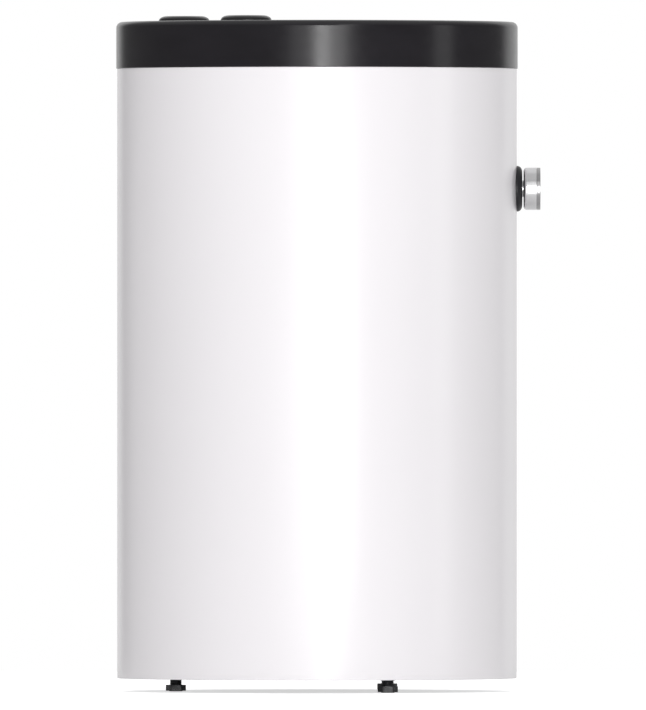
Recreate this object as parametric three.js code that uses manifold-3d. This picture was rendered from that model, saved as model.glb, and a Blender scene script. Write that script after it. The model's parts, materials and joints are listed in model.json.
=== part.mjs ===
// Floor-standing tank water heater, heated by a coil: millimetres, +Z up, thermometer towards +X.
// The tank's own axis is the centre of every ring below; the last lines shift it so that the
// origin lies on the floor at the middle of the object's outline.

import * as THREE from "three";
import { mergeVertices } from "three/addons/utils/BufferGeometryUtils.js";
import Module from "manifold-3d";

const wasm = await Module();
wasm.setup();

// ---------------------------------------------------------------- driving dimensions

const LID_RADIUS = 300;
const LID_TOP = 1000;
const LID_BOTTOM = 930.5;
const LID_WALL = 3;
const LID_EDGE_RADIUS = 9;
const LID_LIP_BOTTOM = 914;

const JACKET_RADIUS = 298.6;
const JACKET_BOTTOM = 19.5;
const SHEET = 1;
const HEM_HEIGHT = 12;

const TANK_RADIUS = 248;
const TANK_WALL = 2.5;
const TANK_LOW = 130;
const TANK_HIGH = 834;
const DOME_RISE = 70;

const RING_RADIUS = 210.9;
const FOOT_ANGLES = [180, 300, 60];
const CAP_ANGLES = [120, 160, 200, 240];

const CAP_RADIUS = 38.2;
const CAP_RISE = 8;
const CAP_SHOULDER = 13;
const CAP_SKIRT_RADIUS = 32;
const CAP_SKIRT_DEPTH = 14;

const HEX_CORNER_RADIUS = 15.35;
const HEX_TOP = 9.6;
const FOOT_STEM_RADIUS = 9;
const FOOT_STEM_TOP = 58;
const PAD_RADIUS = 10;
const PAD_HEIGHT = 2.3;
const PAD_PROUD = 0.8;

const DIAL_HEIGHT = 751;
const CASE_RADIUS = 31.5;
const CASE_REAR = 308.8;
const CASE_FRONT = 333.8;
const BEZEL_REAR = 328.5;
const NECK_RADIUS = 12.3;
const ROSETTE_RADIUS = 34.2;
const ROSETTE_FACE_RADIUS = 25.3;
const ROSETTE_FRONT = 306.7;
const NEEDLE_START = 270;

// Neighbours keep GAP between them, and pieces that are joined or cut reach BITE into each other.
const GAP = 0.3;
const BITE = 1;

const SHELL_SIDES = 48;
const TANK_SIDES = 32;
const ROUND_SIDES = 20;
const SMALL_SIDES = 12;

// ---------------------------------------------------------------- materials

function finish(color, roughness, metalness) {
  return new THREE.MeshStandardMaterial({ color, roughness, metalness });
}

const whitePaint = finish(0xf4f4f5, 0.25, 0);
const blackPlastic = finish(0x232124, 0.35, 0);
const chromePlate = finish(0xd8d9db, 0.15, 1);
const darkChrome = finish(0x8f9093, 0.2, 1);
const steel = finish(0x9a9c9e, 0.4, 1);
const galvanised = finish(0xb4b8ba, 0.5, 1);
const enamel = finish(0x2c4a66, 0.2, 0);
const brass = finish(0xb8944a, 0.35, 1);
const magnesium = finish(0xa9aba8, 0.6, 1);
const foam = finish(0xe3d59c, 0.95, 0);
const greyFelt = finish(0x77797c, 0.95, 0);
const rubber = finish(0x1b1b1c, 0.8, 0);
const dialWhite = finish(0xf7f7f4, 0.5, 0);
const glass = finish(0xeef3f5, 0.05, 0);
const needleBlack = finish(0x121212, 0.5, 0);

// ---------------------------------------------------------------- shaping

const degrees = Math.PI / 180;

function spot(angle, radius = RING_RADIUS) {
  return [radius * Math.cos(angle * degrees), radius * Math.sin(angle * degrees)];
}

// The radius at which a many-sided hole just clears a round of the given radius.
function around(radius, sides, gap = GAP) {
  return (radius + gap) / Math.cos(Math.PI / sides);
}

// A solid turned about Z from [radius, height] points, either from axis to axis or round a closed
// loop. They are listed anticlockwise, with radius to the right and height upwards.
function turned(points, sides = ROUND_SIDES) {
  const onAxis = points[0][0] === 0;
  const loop = onAxis ? points : [...points, points[0]];
  const geometry = new THREE.LatheGeometry(loop.map(([r, z]) => new THREE.Vector2(r, z)), sides);
  return geometry.rotateX(Math.PI / 2);
}

function box(from, to) {
  const size = to.map((value, i) => value - from[i]);
  const middle = to.map((value, i) => (value + from[i]) / 2);
  return new THREE.BoxGeometry(...size).translate(...middle);
}

function rod(radius, bottom, top, sides = ROUND_SIDES) {
  const geometry = new THREE.CylinderGeometry(radius, radius, top - bottom, sides);
  return geometry.rotateX(Math.PI / 2).translate(0, 0, (top + bottom) / 2);
}

// A hexagon prism with two corners on the X axis.
function hexagon(cornerRadius, bottom, top) {
  return rod(cornerRadius, bottom, top, 6).rotateZ(Math.PI / 6);
}

// Lays a shape made about Z down along +X, at the thermometer's height.
function alongX(geometry) {
  return geometry.rotateY(Math.PI / 2).translate(0, 0, DIAL_HEIGHT);
}

function solid(geometry) {
  const bare = geometry.clone();
  bare.deleteAttribute("normal");
  bare.deleteAttribute("uv");
  const merged = mergeVertices(bare, 1e-4);
  const mesh = new wasm.Mesh({
    numProp: 3,
    vertProperties: new Float32Array(merged.attributes.position.array),
    triVerts: new Uint32Array(merged.index.array),
  });
  return new wasm.Manifold(mesh);
}

function shape(manifold) {
  const mesh = manifold.getMesh();
  const geometry = new THREE.BufferGeometry();
  geometry.setAttribute("position", new THREE.BufferAttribute(mesh.vertProperties, 3));
  geometry.setIndex(new THREE.BufferAttribute(mesh.triVerts, 1));
  return geometry;
}

function cut(geometry, tools) {
  return shape(tools.reduce((left, tool) => left.subtract(solid(tool)), solid(geometry)));
}

function joined(geometries) {
  const [first, ...others] = geometries.map(solid);
  return shape(others.reduce((sum, other) => sum.add(other), first));
}

// Points on an upright ellipse about a centre, from one angle to another, in degrees.
function arc(centreRadius, centreHeight, radius, from, to, steps, height = radius) {
  return Array.from({ length: steps + 1 }, (_, i) => {
    const angle = (from + ((to - from) * i) / steps) * degrees;
    return [centreRadius + radius * Math.cos(angle), centreHeight + height * Math.sin(angle)];
  });
}

// ---------------------------------------------------------------- assembly

const heater = new THREE.Group();

function add(name, geometry, material, [x, y] = [0, 0]) {
  const mesh = new THREE.Mesh(geometry, material);
  mesh.name = name;
  mesh.position.set(x, y, 0);
  heater.add(mesh);
}

// ---------------------------------------------------------------- base and feet

const panRecess = 3;
const panFloor = JACKET_BOTTOM + panRecess;
const panWall = 1.5;
const panTop = 60;
const panRadius = JACKET_RADIUS - 2 * SHEET - GAP;
const ringFloor = panFloor + panWall + GAP;
const ringPlate = 4;
const ringInner = 180;
const ringOuter = 236;
const bushNose = 11;
const bushShoulder = 16;
const bushProud = 1.5;
const bushBottom = JACKET_BOTTOM - bushProud;
const bushTop = 44;
const threadGap = 0.1;
const padMargin = 2;
const travelClearance = 17;
const foamFloor = FOOT_STEM_TOP + travelClearance;

function domeHeight(radius) {
  return DOME_RISE * Math.sqrt(1 - (radius / TANK_RADIUS) ** 2);
}

function bushHoles() {
  return FOOT_ANGLES.map((angle) => {
    const hole = rod(around(bushNose, ROUND_SIDES), 0, panTop);
    return hole.translate(...spot(angle), 0);
  });
}

const panProfile = [
  [0, panFloor],
  [panRadius, panFloor],
  [panRadius, panTop],
  [panRadius - panWall, panTop],
  [panRadius - panWall, panFloor + panWall],
  [0, panFloor + panWall],
];
add("base_pan", cut(turned(panProfile, SHELL_SIDES), bushHoles()), galvanised);

const ringTop = TANK_LOW - domeHeight(ringInner) - 2 * GAP;
const ringProfile = [
  [ringInner, ringFloor],
  [ringOuter, ringFloor],
  [ringOuter, ringFloor + ringPlate],
  [ringInner + ringPlate, ringFloor + ringPlate],
  [ringInner + ringPlate, ringTop],
  [ringInner, ringTop],
];
add("support_ring", cut(turned(ringProfile, TANK_SIDES), bushHoles()), steel);

const bottomPadProfile = [
  [0, ringFloor],
  [ringInner - padMargin, ringFloor],
  [ringInner - padMargin, TANK_LOW - DOME_RISE - padMargin],
  [0, TANK_LOW - DOME_RISE - padMargin],
];
add("bottom_insulation", turned(bottomPadProfile, TANK_SIDES), greyFelt);

const bushBore = around(FOOT_STEM_RADIUS, SMALL_SIDES, threadGap);
const bushProfile = [
  [bushBore, bushBottom],
  [bushNose, bushBottom],
  [bushNose, ringFloor + ringPlate + GAP],
  [bushShoulder, ringFloor + ringPlate + GAP],
  [bushShoulder, bushTop],
  [bushBore, bushTop],
];

function footScrew() {
  const head = hexagon(HEX_CORNER_RADIUS, PAD_PROUD, HEX_TOP);
  const stem = rod(FOOT_STEM_RADIUS, HEX_TOP - BITE, FOOT_STEM_TOP, SMALL_SIDES);
  const recess = rod(around(PAD_RADIUS, SMALL_SIDES), 0, PAD_HEIGHT + GAP, SMALL_SIDES);
  return cut(joined([head, stem]), [recess]);
}

FOOT_ANGLES.forEach((angle, i) => {
  const place = spot(angle);
  add(`foot_bush_${i + 1}`, turned(bushProfile, SMALL_SIDES), galvanised, place);
  add(`foot_screw_${i + 1}`, footScrew(), blackPlastic, place);
  add(`foot_pad_${i + 1}`, rod(PAD_RADIUS, 0, PAD_HEIGHT, SMALL_SIDES), rubber, place);
});

// ---------------------------------------------------------------- jacket

const jacketTop = LID_BOTTOM - GAP;
const jacketInner = JACKET_RADIUS - SHEET;
const hemInner = jacketInner - SHEET;
const dialHole = 18;
const seamWidth = 2.4;
const seamDepth = 0.5;

const jacketProfile = [
  [hemInner, JACKET_BOTTOM],
  [JACKET_RADIUS, JACKET_BOTTOM],
  [JACKET_RADIUS, jacketTop],
  [jacketInner, jacketTop],
  [jacketInner, JACKET_BOTTOM + HEM_HEIGHT],
  [hemInner, JACKET_BOTTOM + HEM_HEIGHT],
];
const seamGroove = box(
  [-LID_RADIUS, -seamWidth / 2, 0],
  [-JACKET_RADIUS + seamDepth, seamWidth / 2, LID_TOP],
);
const dialOpening = alongX(rod(dialHole, TANK_RADIUS, CASE_FRONT));
add("jacket", cut(turned(jacketProfile, SHELL_SIDES), [seamGroove, dialOpening]), whitePaint);

// ---------------------------------------------------------------- inner tank

const domeSteps = 5;
const hemSteps = 2;
const neckRadius = 62;
const neckBore = 56;
const spigotRadius = 16.6;
const spigotBore = 14;
const bossRadius = 14;
const bossBore = 8.5;

const neckHole = around(neckRadius, ROUND_SIDES);
const neckAngle = Math.acos(neckHole / (TANK_RADIUS - TANK_WALL)) / degrees;
const innerRadius = TANK_RADIUS - TANK_WALL;
const innerRise = DOME_RISE - TANK_WALL;

const tankProfile = [
  ...arc(0, TANK_LOW, TANK_RADIUS, -90, 0, domeSteps, DOME_RISE),
  ...arc(0, TANK_HIGH, TANK_RADIUS, 0, neckAngle, domeSteps, DOME_RISE),
  ...arc(0, TANK_HIGH, innerRadius, neckAngle, 0, domeSteps, innerRise),
  ...arc(0, TANK_LOW, innerRadius, 0, -90, domeSteps, innerRise),
].map(([r, z]) => [r < 1e-6 ? 0 : r, z]);

function pipeHoles(radius, bottom, top, sides = SMALL_SIDES) {
  return CAP_ANGLES.map((angle) => rod(radius, bottom, top, sides).translate(...spot(angle), 0));
}

const bossHole = alongX(rod(around(bossRadius, ROUND_SIDES), TANK_RADIUS / 2, JACKET_RADIUS));
const spigotHole = around(spigotRadius, SMALL_SIDES);
const tankHoles = [...pipeHoles(spigotHole, TANK_HIGH, LID_TOP), bossHole];
add("inner_tank", cut(turned(tankProfile, TANK_SIDES), tankHoles), enamel);

// ---------------------------------------------------------------- foam between tank and jacket

const foamTop = LID_LIP_BOTTOM - 6;
const foamRadius = jacketInner * Math.cos(Math.PI / SHELL_SIDES) - GAP;
const cavityGap = around(TANK_RADIUS, TANK_SIDES) - TANK_RADIUS;
const cavityRadius = TANK_RADIUS + cavityGap;
const cavityRise = DOME_RISE + cavityGap;
const hemAngle = (90 * hemSteps) / domeSteps;

const foamProfile = [
  [cavityRadius * Math.cos(hemAngle * degrees), foamFloor],
  [foamRadius, foamFloor],
  [foamRadius, foamTop],
  [cavityRadius * Math.cos(neckAngle * degrees), foamTop],
  ...arc(0, TANK_HIGH, cavityRadius, neckAngle, 0, domeSteps, cavityRise),
  ...arc(0, TANK_LOW, cavityRadius, 0, -hemAngle, hemSteps, cavityRise),
];
const dialTunnel = alongX(rod(dialHole, TANK_RADIUS / 2, CASE_FRONT, SMALL_SIDES));
const foamHoles = [...pipeHoles(spigotHole + BITE, TANK_HIGH, LID_TOP), dialTunnel];
add("foam_insulation", cut(turned(foamProfile, TANK_SIDES), foamHoles), foam);

// ---------------------------------------------------------------- access flange, anode and sensor pocket

const flangeRadius = 88;
const flangeFace = 934;
const flangeBottom = flangeFace - 7.5;
const neckLength = 42;
const boltCircle = 75;
const boltCount = 6;
const boltRadius = 4;
const boltCorner = 7.5;
const boltHead = 5.3;
const gasketHeight = 2.5;
const gasketMargin = 7;
const plateBottom = flangeFace + gasketHeight + 2 * GAP;
const plateTop = plateBottom + 8;
const plugCorner = 18;
const plugTop = plateTop + 12;
const anodeThread = 12;
const anodeRadius = 13;
const anodeTop = plateBottom - 6;
const anodeBottom = 470;
const pocketPlace = 40;
const pocketRadius = 7;
const pocketWall = 1.5;
const pocketEnd = 2;
const pocketCollar = 3;
const pocketTop = plateTop + 5;
const pocketBottom = 520;

function boltSpots() {
  return Array.from({ length: boltCount }, (_, i) => spot((i * 360) / boltCount, boltCircle));
}

function boltHoles() {
  const radius = around(boltRadius, SMALL_SIDES);
  return boltSpots().map((place) => {
    return rod(radius, flangeBottom - BITE, LID_TOP, SMALL_SIDES).translate(...place, 0);
  });
}

const neckProfile = [
  [neckBore, flangeFace - neckLength],
  [neckRadius, flangeFace - neckLength],
  [neckRadius, flangeBottom],
  [flangeRadius, flangeBottom],
  [flangeRadius, flangeFace],
  [neckBore, flangeFace],
];
add("flange_neck", cut(turned(neckProfile), boltHoles()), steel);

const gasketProfile = [
  [neckBore + BITE, flangeFace + GAP],
  [boltCircle - gasketMargin, flangeFace + GAP],
  [boltCircle - gasketMargin, flangeFace + GAP + gasketHeight],
  [neckBore + BITE, flangeFace + GAP + gasketHeight],
];
add("flange_gasket", turned(gasketProfile), rubber);

const anodeHole = rod(around(anodeThread, ROUND_SIDES), flangeFace, LID_TOP);
const pocketHole = rod(around(pocketRadius, SMALL_SIDES), flangeFace, LID_TOP, SMALL_SIDES);
const plateHoles = [...boltHoles(), anodeHole, pocketHole.translate(pocketPlace, 0, 0)];
add("flange_plate", cut(rod(flangeRadius, plateBottom, plateTop), plateHoles), steel);

boltSpots().forEach((place, i) => {
  const head = hexagon(boltCorner, plateTop + GAP, plateTop + GAP + boltHead);
  const shank = rod(boltRadius, flangeBottom, plateTop + BITE, SMALL_SIDES);
  add(`flange_bolt_${i + 1}`, joined([head, shank]), galvanised, place);
});

const plugHead = hexagon(plugCorner, plateTop + GAP, plugTop);
const plugThread = rod(anodeThread, anodeTop, plateTop + BITE);
add("anode_plug", joined([plugHead, plugThread]), brass);
add("anode_rod", rod(anodeRadius, anodeBottom, anodeTop - GAP, SMALL_SIDES), magnesium);

const pocketProfile = [
  [0, pocketBottom],
  [pocketRadius, pocketBottom],
  [pocketRadius, plateTop + GAP],
  [pocketRadius + pocketCollar, plateTop + GAP],
  [pocketRadius + pocketCollar, pocketTop],
  [pocketRadius - pocketWall, pocketTop],
  [pocketRadius - pocketWall, pocketBottom + pocketEnd],
  [0, pocketBottom + pocketEnd],
];
add("sensor_pocket", turned(pocketProfile, SMALL_SIDES), brass, [pocketPlace, 0]);

// ---------------------------------------------------------------- pipe connections

const spigotSink = 24;
const spigotBottom = TANK_HIGH + spigotSink;
const spigotTop = 990;
const tubeRadius = 12.5;
const tubeBore = 10.5;
const dipBottom = 110;

const spigotProfile = [
  [spigotBore, spigotBottom],
  [spigotRadius, spigotBottom],
  [spigotRadius, spigotTop],
  [spigotBore, spigotTop],
];
const spigotNames = ["cold_water_spigot", "coil_flow_spigot", "coil_return_spigot", "hot_water_spigot"];
spigotNames.forEach((name, i) => {
  add(name, turned(spigotProfile), steel, spot(CAP_ANGLES[i]));
});

const dipProfile = [
  [tubeBore, dipBottom],
  [tubeRadius, dipBottom],
  [tubeRadius, spigotBottom - GAP],
  [tubeBore, spigotBottom - GAP],
];
add("cold_dip_tube", turned(dipProfile, SMALL_SIDES), dialWhite, spot(CAP_ANGLES[0]));

// ---------------------------------------------------------------- heating coil

const coilRadius = 150;
const coilTurns = 5;
const coilTop = 520;
const coilBottom = 175;
const coilStepsPerTurn = 12;
const bendRadius = 60;
const bendSteps = 5;

// A path through stations that gives one section at each station, so that straight runs stay light.
class StationPath extends THREE.Curve {
  constructor(stations) {
    super();
    this.stations = stations;
  }

  getPoint(t, target = new THREE.Vector3()) {
    const place = t * (this.stations.length - 1);
    const index = Math.min(Math.floor(place), this.stations.length - 2);
    return target.lerpVectors(this.stations[index], this.stations[index + 1], place - index);
  }

  getUtoTmapping(u) {
    return u;
  }
}

// The bend from a riser on the ring circle into the coil, as [angle, radius, height] stations.
function coilBend(startAngle, direction, levelHeight, side) {
  return Array.from({ length: bendSteps + 1 }, (_, i) => {
    const share = i / bendSteps;
    const swing = share * 90 * degrees;
    const ease = share * share * (3 - 2 * share);
    const radius = RING_RADIUS + (coilRadius - RING_RADIUS) * ease;
    const advance = (bendRadius * (1 - Math.cos(swing))) / coilRadius / degrees;
    const height = levelHeight + side * bendRadius * (1 - Math.sin(swing));
    return [startAngle + direction * advance, radius, height];
  });
}

function coilStations() {
  const flow = coilBend(CAP_ANGLES[1], 1, coilTop, 1);
  const back = coilBend(CAP_ANGLES[2], -1, coilBottom, 1).reverse();
  const [firstAngle] = flow[flow.length - 1];
  const lastAngle = back[0][0] + 360 * coilTurns;
  const steps = coilTurns * coilStepsPerTurn;
  const turns = Array.from({ length: steps - 1 }, (_, i) => {
    const share = (i + 1) / steps;
    const angle = firstAngle + (lastAngle - firstAngle) * share;
    return [angle, coilRadius, coilTop + (coilBottom - coilTop) * share];
  });
  const ends = [CAP_ANGLES[1], CAP_ANGLES[2]].map((angle) => [angle, RING_RADIUS, spigotBottom - GAP]);
  return [ends[0], ...flow, ...turns, ...back, ends[1]].map(([angle, radius, height]) => {
    return new THREE.Vector3(...spot(angle, radius), height);
  });
}

function ringOutline(radius, sides) {
  return Array.from({ length: sides }, (_, i) => new THREE.Vector2(...spot((i * 360) / sides, radius)));
}

function tubeAlong(stations, radius, bore, sides) {
  const section = new THREE.Shape(ringOutline(radius, sides));
  if (bore > 0) {
    section.holes.push(new THREE.Path(ringOutline(bore, sides - 2)));
  }
  const path = new StationPath(stations);
  return new THREE.ExtrudeGeometry(section, { steps: stations.length - 1, extrudePath: path });
}

add("heating_coil", tubeAlong(coilStations(), tubeRadius, tubeBore, 6), enamel);

// ---------------------------------------------------------------- thermometer

const bossRear = TANK_RADIUS - 5;
const bossFront = TANK_RADIUS + 14;
const wellEnd = 150;
const wellRadius = 8;
const wellBore = 5.6;
const wellFloor = 2;
const wellCollar = 8;
const stemEnd = wellEnd + 12;
const stemRadius = 4.5;
const stemBore = 3.4;
const stemFront = CASE_REAR + 0.7;
const bimetalStart = stemEnd + 4;
const bimetalLength = 22;
const bimetalTurns = 5;
const bimetalRadius = 2.3;
const bimetalWire = 0.45;
const bimetalSteps = 30;
const hubRear = 300.2;
const caseWall = 1.5;
const caseFloor = CASE_REAR + 2.2;
const caseEdge = 4.6;
const caseBore = CASE_RADIUS - caseWall;
const hubBore = around(stemRadius, SMALL_SIDES);
const bezelChamfer = 0.9;
const bezelFace = 3.2;
const bezelLip = 4.3;
const bezelWall = 2.9;
const lipSlope = 1.2;
const dialRear = 321.9;
const dialFront = 322.7;
const dialBore = 2.5;
const needleRear = 325;
const needleFront = 325.8;
const needleTip = 22;
const needleTail = 8;
const needleHub = 3;
const needleHubProud = 1.2;
const spindleRadius = 1;
const spindleRear = bimetalStart + bimetalLength + 2;
const lensRear = 329.5;
const lensFront = 331.1;
const rosetteGap = 0.6;
const rosetteSink = 5;
const rosetteEdge = 7.5;

const bossProfile = [
  [bossBore, bossRear],
  [bossRadius, bossRear],
  [bossRadius, bossFront],
  [bossBore, bossFront],
];
add("thermowell_boss", alongX(turned(bossProfile)), steel);

const wellProfile = [
  [0, wellEnd],
  [wellRadius, wellEnd],
  [wellRadius, bossFront + GAP],
  [bossRadius - BITE, bossFront + GAP],
  [bossRadius - BITE, bossFront + wellCollar],
  [wellBore, bossFront + wellCollar],
  [wellBore, wellEnd + wellFloor],
  [0, wellEnd + wellFloor],
];
add("thermowell", alongX(turned(wellProfile, SMALL_SIDES)), brass);

const stemProfile = [
  [0, stemEnd],
  [stemRadius, stemEnd],
  [stemRadius, stemFront],
  [stemBore, stemFront],
  [stemBore, stemEnd + BITE],
  [0, stemEnd + BITE],
];
add("thermometer_stem", alongX(turned(stemProfile, SMALL_SIDES)), steel);

function bimetalStations() {
  return Array.from({ length: bimetalSteps + 1 }, (_, i) => {
    const share = i / bimetalSteps;
    const place = spot(360 * bimetalTurns * share, bimetalRadius);
    return new THREE.Vector3(...place, bimetalStart + bimetalLength * share);
  });
}

add("bimetal_coil", alongX(tubeAlong(bimetalStations(), bimetalWire, 0, 4)), brass);

const rosetteRound = ROSETTE_RADIUS - ROSETTE_FACE_RADIUS;
const rosetteProfile = [
  [NECK_RADIUS + rosetteGap, JACKET_RADIUS - rosetteSink],
  [ROSETTE_RADIUS, JACKET_RADIUS - rosetteSink],
  ...arc(ROSETTE_FACE_RADIUS, ROSETTE_FRONT - rosetteEdge, rosetteRound, 0, 90, 4, rosetteEdge),
  [NECK_RADIUS + rosetteGap, ROSETTE_FRONT],
];
const jacketSurface = rod(JACKET_RADIUS + GAP, JACKET_BOTTOM, jacketTop, SHELL_SIDES);
add("thermometer_rosette", cut(alongX(turned(rosetteProfile)), [jacketSurface]), blackPlastic);

const caseProfile = [
  [hubBore, hubRear],
  [NECK_RADIUS, hubRear],
  [NECK_RADIUS, CASE_REAR],
  ...arc(CASE_RADIUS - caseEdge, CASE_REAR + caseEdge, caseEdge, -90, 0, 3),
  [CASE_RADIUS, BEZEL_REAR - GAP],
  [caseBore, BEZEL_REAR - GAP],
  [caseBore, caseFloor],
  [hubBore, caseFloor],
];
add("thermometer_case", alongX(turned(caseProfile)), chromePlate);

const bezelProfile = [
  [caseBore - GAP, BEZEL_REAR],
  [CASE_RADIUS, BEZEL_REAR],
  [CASE_RADIUS, CASE_FRONT - bezelChamfer],
  [CASE_RADIUS - bezelChamfer, CASE_FRONT],
  [CASE_RADIUS - bezelFace, CASE_FRONT],
  [CASE_RADIUS - bezelLip, CASE_FRONT - lipSlope],
  [CASE_RADIUS - bezelLip, lensFront + GAP],
  [CASE_RADIUS - bezelWall, lensFront + GAP],
  [CASE_RADIUS - bezelWall, dialFront + GAP],
  [caseBore - GAP, dialFront + GAP],
];
add("thermometer_bezel", alongX(turned(bezelProfile)), darkChrome);

const lensRadius = CASE_RADIUS - bezelWall - GAP;
add("thermometer_lens", alongX(rod(lensRadius, lensRear, lensFront)), glass);

const dialProfile = [
  [dialBore, dialRear],
  [caseBore - GAP, dialRear],
  [caseBore - GAP, dialFront],
  [dialBore, dialFront],
];
add("thermometer_dial", alongX(turned(dialProfile)), dialWhite);

// The needle lies flat in front of the dial, turned from the dial's left to its resting mark.
function needle() {
  const edge = [[-needleTail, 1.6], [needleTail, 1], [needleTip, 0.3]];
  const corners = [...edge.map(([x, y]) => [x, -y]), ...edge.reverse()];
  const outline = new THREE.Shape(corners.map(([x, y]) => new THREE.Vector2(x, y)));
  const thickness = needleFront - needleRear;
  const blade = new THREE.ExtrudeGeometry(outline, { depth: thickness, bevelEnabled: false });
  const hub = rod(needleHub, needleRear, needleFront + needleHubProud, SMALL_SIDES);
  return joined([blade.translate(0, 0, needleRear), hub]);
}

add("thermometer_pointer", alongX(needle().rotateZ(NEEDLE_START * degrees)), needleBlack);
const spindle = rod(spindleRadius, spindleRear, needleRear - GAP, SMALL_SIDES);
add("pointer_spindle", alongX(spindle), steel);

// ---------------------------------------------------------------- lid and caps

const lidInner = LID_TOP - LID_WALL;
const lipGap = 0.6;
const lipOuter = jacketInner - lipGap;
const lipInner = lipOuter - 2.5;
const lidGusset = 5;
const capPlay = 0.5;
const capHole = CAP_SKIRT_RADIUS + capPlay;

const lidProfile = [
  [0, lidInner],
  [lipInner - lidGusset, lidInner],
  [lipInner, lidInner - lidGusset],
  [lipInner, LID_LIP_BOTTOM],
  [lipOuter, LID_LIP_BOTTOM],
  [lipOuter, LID_BOTTOM],
  [LID_RADIUS, LID_BOTTOM],
  ...arc(LID_RADIUS - LID_EDGE_RADIUS, LID_TOP - LID_EDGE_RADIUS, LID_EDGE_RADIUS, 0, 90, 4),
  [0, LID_TOP],
];
const lidHoles = pipeHoles(capHole, lidInner - BITE, LID_TOP + BITE, ROUND_SIDES);
add("lid", cut(turned(lidProfile, SHELL_SIDES), lidHoles), blackPlastic);

const liningBottom = plateTop + 18;
const liningRadius = lipInner - 6;
const liningPlay = 3;
const liningHoles = pipeHoles(capHole + liningPlay, plateTop, LID_TOP);
const liningProfile = [
  [0, liningBottom],
  [liningRadius, liningBottom],
  [liningRadius, lidInner - GAP],
  [0, lidInner - GAP],
];
add("lid_insulation", cut(turned(liningProfile, TANK_SIDES), liningHoles), greyFelt);

const capBase = LID_TOP + GAP;
const capTop = LID_TOP + CAP_RISE;
const capRim = 1;
const capCrown = 2.5;
const capUnderside = 6;
const capGusset = 5;
const skirtInner = CAP_SKIRT_RADIUS - 2;
const skirtBottom = LID_TOP - CAP_SKIRT_DEPTH;
const shoulderRise = CAP_RISE - GAP - capRim;
const capProfile = [
  [0, capTop - capCrown],
  [skirtInner - capGusset, capTop - capCrown],
  [skirtInner, capTop - capUnderside],
  [skirtInner, skirtBottom],
  [CAP_SKIRT_RADIUS, skirtBottom],
  [CAP_SKIRT_RADIUS, capBase],
  [CAP_RADIUS, capBase],
  ...arc(CAP_RADIUS - CAP_SHOULDER, capBase + capRim, CAP_SHOULDER, 0, 90, 4, shoulderRise),
  [0, capTop],
];
CAP_ANGLES.forEach((angle, i) => {
  add(`pipe_cap_${i + 1}`, turned(capProfile), blackPlastic, spot(angle));
});

// ---------------------------------------------------------------- origin

heater.position.x = (LID_RADIUS - CASE_FRONT) / 2;

export default heater;
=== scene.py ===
"""The looks of a tank water heater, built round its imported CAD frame."""

import json
import math

import bpy
from mathutils import Matrix, Vector, noise


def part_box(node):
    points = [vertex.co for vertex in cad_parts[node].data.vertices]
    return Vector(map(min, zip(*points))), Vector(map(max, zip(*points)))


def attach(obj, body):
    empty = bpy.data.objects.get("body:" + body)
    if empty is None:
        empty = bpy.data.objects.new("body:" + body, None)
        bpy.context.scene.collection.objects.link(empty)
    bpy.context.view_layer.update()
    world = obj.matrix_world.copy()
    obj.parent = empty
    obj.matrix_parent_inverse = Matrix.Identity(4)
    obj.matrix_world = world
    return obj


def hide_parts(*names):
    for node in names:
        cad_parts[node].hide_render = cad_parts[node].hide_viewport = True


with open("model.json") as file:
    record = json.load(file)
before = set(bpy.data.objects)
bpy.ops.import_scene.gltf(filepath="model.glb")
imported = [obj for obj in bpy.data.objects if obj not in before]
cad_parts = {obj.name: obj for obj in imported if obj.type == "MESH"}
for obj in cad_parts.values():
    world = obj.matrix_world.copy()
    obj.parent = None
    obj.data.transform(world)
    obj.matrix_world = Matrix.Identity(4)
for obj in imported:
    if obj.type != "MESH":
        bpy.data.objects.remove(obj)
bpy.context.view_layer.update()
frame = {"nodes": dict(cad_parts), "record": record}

MM = 0.001
TURN = 2 * math.pi
NEAR = 1e-6    # closer than this, in metres, two places are the same
ON_AXIS = 1e-7
GAP = 0.3 * MM    # the gap that stands for a weld or a seat between two CAD nodes
RECORD = frame["record"]
BODY_OF = {node: body for body, nodes in RECORD["behaviour"]["bodies"].items() for node in nodes}
SLOT_OF = {part["node"]: part["material_slot"] for part in RECORD["subparts"]}
PIPES = ("cold_water", "coil_flow", "coil_return", "hot_water")
FEET = (1, 2, 3)
CAPS = (1, 2, 3, 4)
BOLTS = (1, 2, 3, 4, 5, 6)


# ---------------- places, all from the frame

BOX = {node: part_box(node) for node in frame["nodes"]}


def middle(node):
    low, high = BOX[node]
    return (low + high) / 2


def half_width(node):
    low, high = BOX[node]
    return (high.y - low.y) / 2


def sized(node):
    """A node's lowest and highest corners, and half its width."""
    return (*BOX[node], half_width(node))


def upright(node):
    """Sets a shape turned about Z on a node's own upright axis."""
    at = middle(node)
    return Matrix.Translation((at.x, at.y, 0))


def places(kind, numbers):
    return [upright(f"{kind}_{n}") for n in numbers]


CAP_PLACES = places("pipe_cap", CAPS)
FOOT_PLACES = places("foot_screw", FEET)
BOLT_PLACES = places("flange_bolt", BOLTS)
TANK = upright("lid")
TANK_X = middle("lid").x
DIAL = Matrix.Translation((0, 0, middle("thermometer_bezel").z)) @ Matrix.Rotation(TURN / 4, 4, "Y")
JACKET_RADIUS = half_width("jacket")
SHEET = 1 * MM

# where each hole for the thermometer starts and ends on its axis, clear of both faces of its wall
SIDE_CUTS = {"jacket": (0.2, 0.35), "foam": (0.2, 0.32), "tank": (0.2, 0.3)}


def from_tank(x):
    """A place on the row's X axis as a distance from the tank's own axis."""
    return x - TANK_X


def along(node):
    """Where a node of the thermometer starts and ends on the dial's axis, from the tank's own axis."""
    low, high = BOX[node]
    return from_tank(low.x), from_tank(high.x)


def dial_place():
    return Matrix.Translation((TANK_X, 0, 0)) @ DIAL


# ---------------- mesh making

def add_object(name, data):
    made = bpy.data.objects.new(name, data)
    bpy.context.scene.collection.objects.link(made)
    return made


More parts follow.
